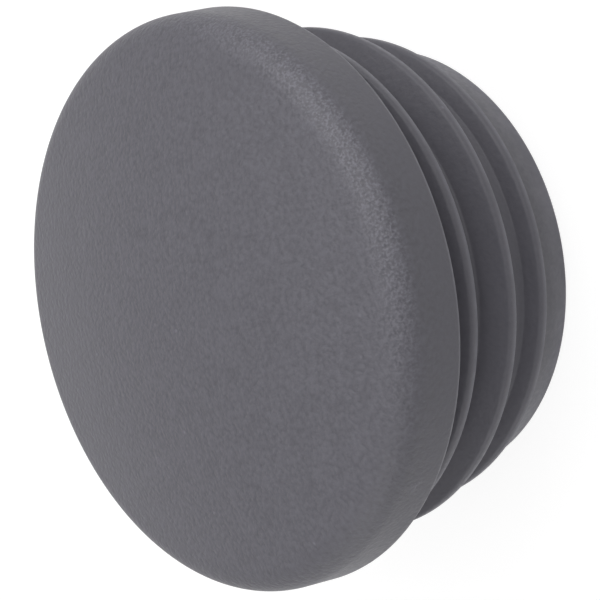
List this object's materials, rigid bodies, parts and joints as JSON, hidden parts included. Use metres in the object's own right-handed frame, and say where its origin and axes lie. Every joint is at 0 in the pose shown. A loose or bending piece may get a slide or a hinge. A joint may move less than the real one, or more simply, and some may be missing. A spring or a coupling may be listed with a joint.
{
  "type": "tube end cap",
  "caption": "Moulded plastic end cap for a round tube: a smooth domed head over a short hollow stem with flexible grip fins.",
  "frame": {"origin": "centre of the open end's rim plane, where the cap stands on a surface", "axes": "+Z along the cap's own axis, from the open end of the stem to the top of the domed head; X and Y are free, as it is round"},
  "size_m": [0.0484, 0.0484, 0.0265],
  "materials": {
    "plastic": "matte, fine spark-eroded grain, light handling scuffs"
  },
  "bodies": {
    "root": {"end_cap": "plastic"}
  },
  "joints": []
}
